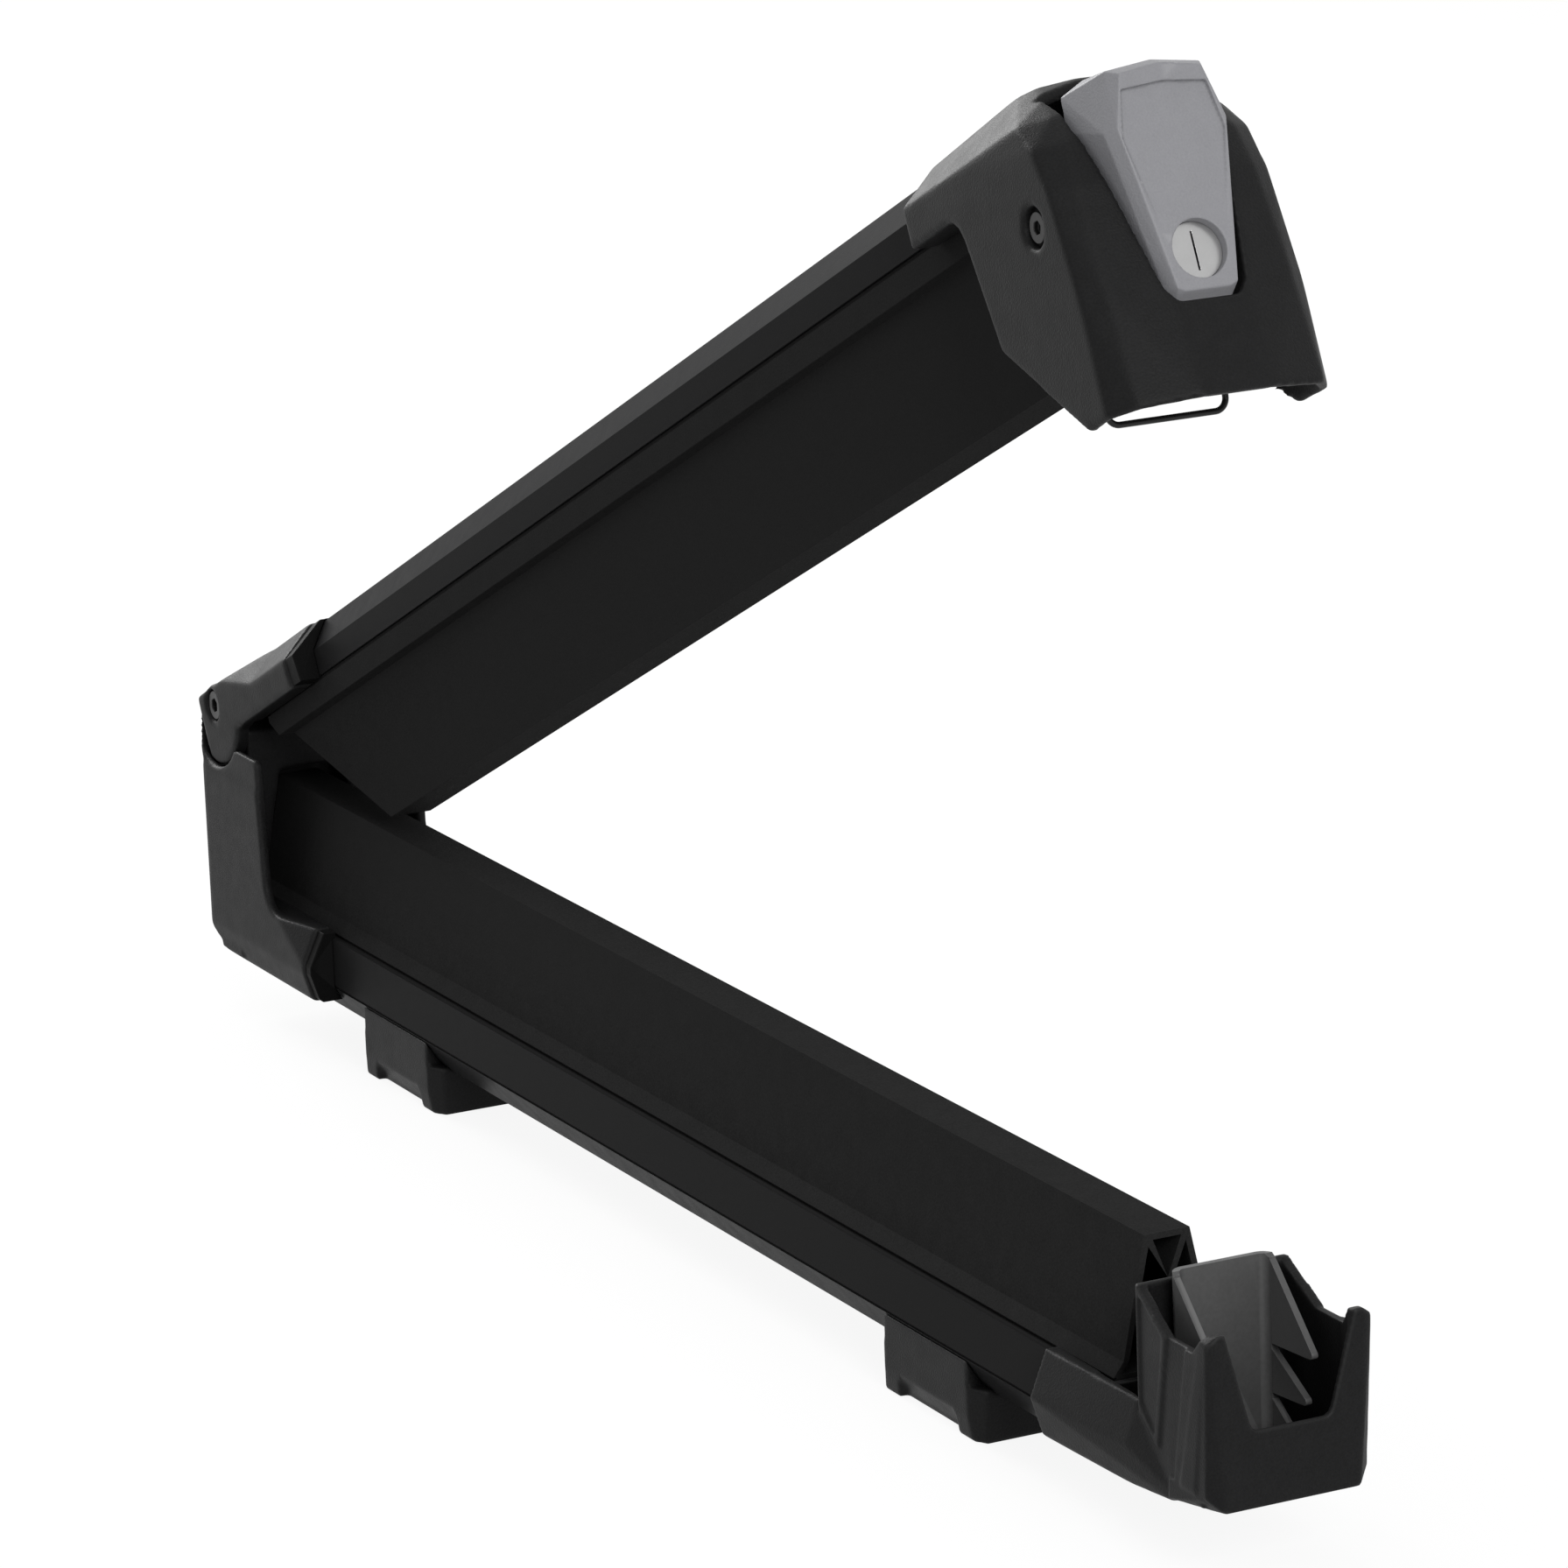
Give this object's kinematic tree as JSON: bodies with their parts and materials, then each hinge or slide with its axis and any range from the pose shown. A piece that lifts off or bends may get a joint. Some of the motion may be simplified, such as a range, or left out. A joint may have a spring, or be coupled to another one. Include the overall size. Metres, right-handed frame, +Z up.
{
  "type": "ski carrier",
  "caption": "Roof ski carrier: two hinged black arms with soft rubber pads, saddle feet for roof bars, a ratchet cup and a keyed press lock with a grey push button.",
  "frame": {"origin": "plane where the feet meet the roof bars, midway between the two bolt holes, on the centre plane", "axes": "+X from the hinge to the lock along the arms, +Z up, +Y across the arms"},
  "size_m": [0.777, 0.0748, 0.4539],
  "materials": {
    "black_aluminium": "satin black anodised",
    "pad_rubber": "matt, fine grain",
    "black_plastic": "spark-eroded fine texture",
    "grey_plastic": "satin, fine texture",
    "bush_plastic": "plain acetal",
    "zinc_steel": "zinc plated",
    "dark_steel": "dark plated",
    "silver_plate": "satin nickel"
  },
  "bodies": {
    "base": {"base_profile": "black_aluminium", "base_pad": "pad_rubber", "hinge_bracket": "black_plastic", "base_collar": "black_plastic", "hinge_bushes": "bush_plastic", "hinge_washers": "bush_plastic", "bracket_screws": "zinc_steel", "catch_cup": "black_plastic", "ratchet_plate": "dark_steel", "ratchet_screws": "zinc_steel", "cup_screws": "zinc_steel", "foot_rear": "black_plastic", "foot_front": "black_plastic", "slot_nuts": "zinc_steel"},
    "arm": {"arm_profile": "black_aluminium", "arm_pad": "pad_rubber", "arm_bracket": "black_plastic", "arm_collar": "black_plastic", "hinge_bolt": "dark_steel", "hinge_nut": "dark_steel", "arm_bracket_screws": "zinc_steel", "lock_housing": "black_plastic", "housing_screws": "zinc_steel", "lock_pin": "dark_steel", "lock_pin_nut": "dark_steel", "return_spring": "zinc_steel"},
    "button": {"push_button": "grey_plastic", "lock_barrel": "zinc_steel", "bail": "dark_steel"},
    "key_core": {"key_disc": "silver_plate", "lock_cam": "zinc_steel"}
  },
  "joints": [
    {"name": "arm_hinge", "type": "hinge", "parent": "base", "child": "arm", "pos_m": [-0.35, 0, 0.1215], "axis": [0, -1, 0], "range_deg": [-22.85, 64.65], "deforming": ["base_pad", "arm_pad"]},
    {"name": "button_press", "type": "hinge", "parent": "arm", "child": "button", "pos_m": [0.32926, 0, 0.4068], "axis": [0, -1, 0], "range_deg": [0, 16], "stiffness_Nm_per_rad": 0.4, "deforming": ["return_spring"]},
    {"name": "key_turn", "type": "hinge", "parent": "button", "child": "key_core", "pos_m": [0.36053, 0, 0.40059], "axis": [0.9037, 0, 0.4281], "range_deg": [0, 90]}
  ]
}
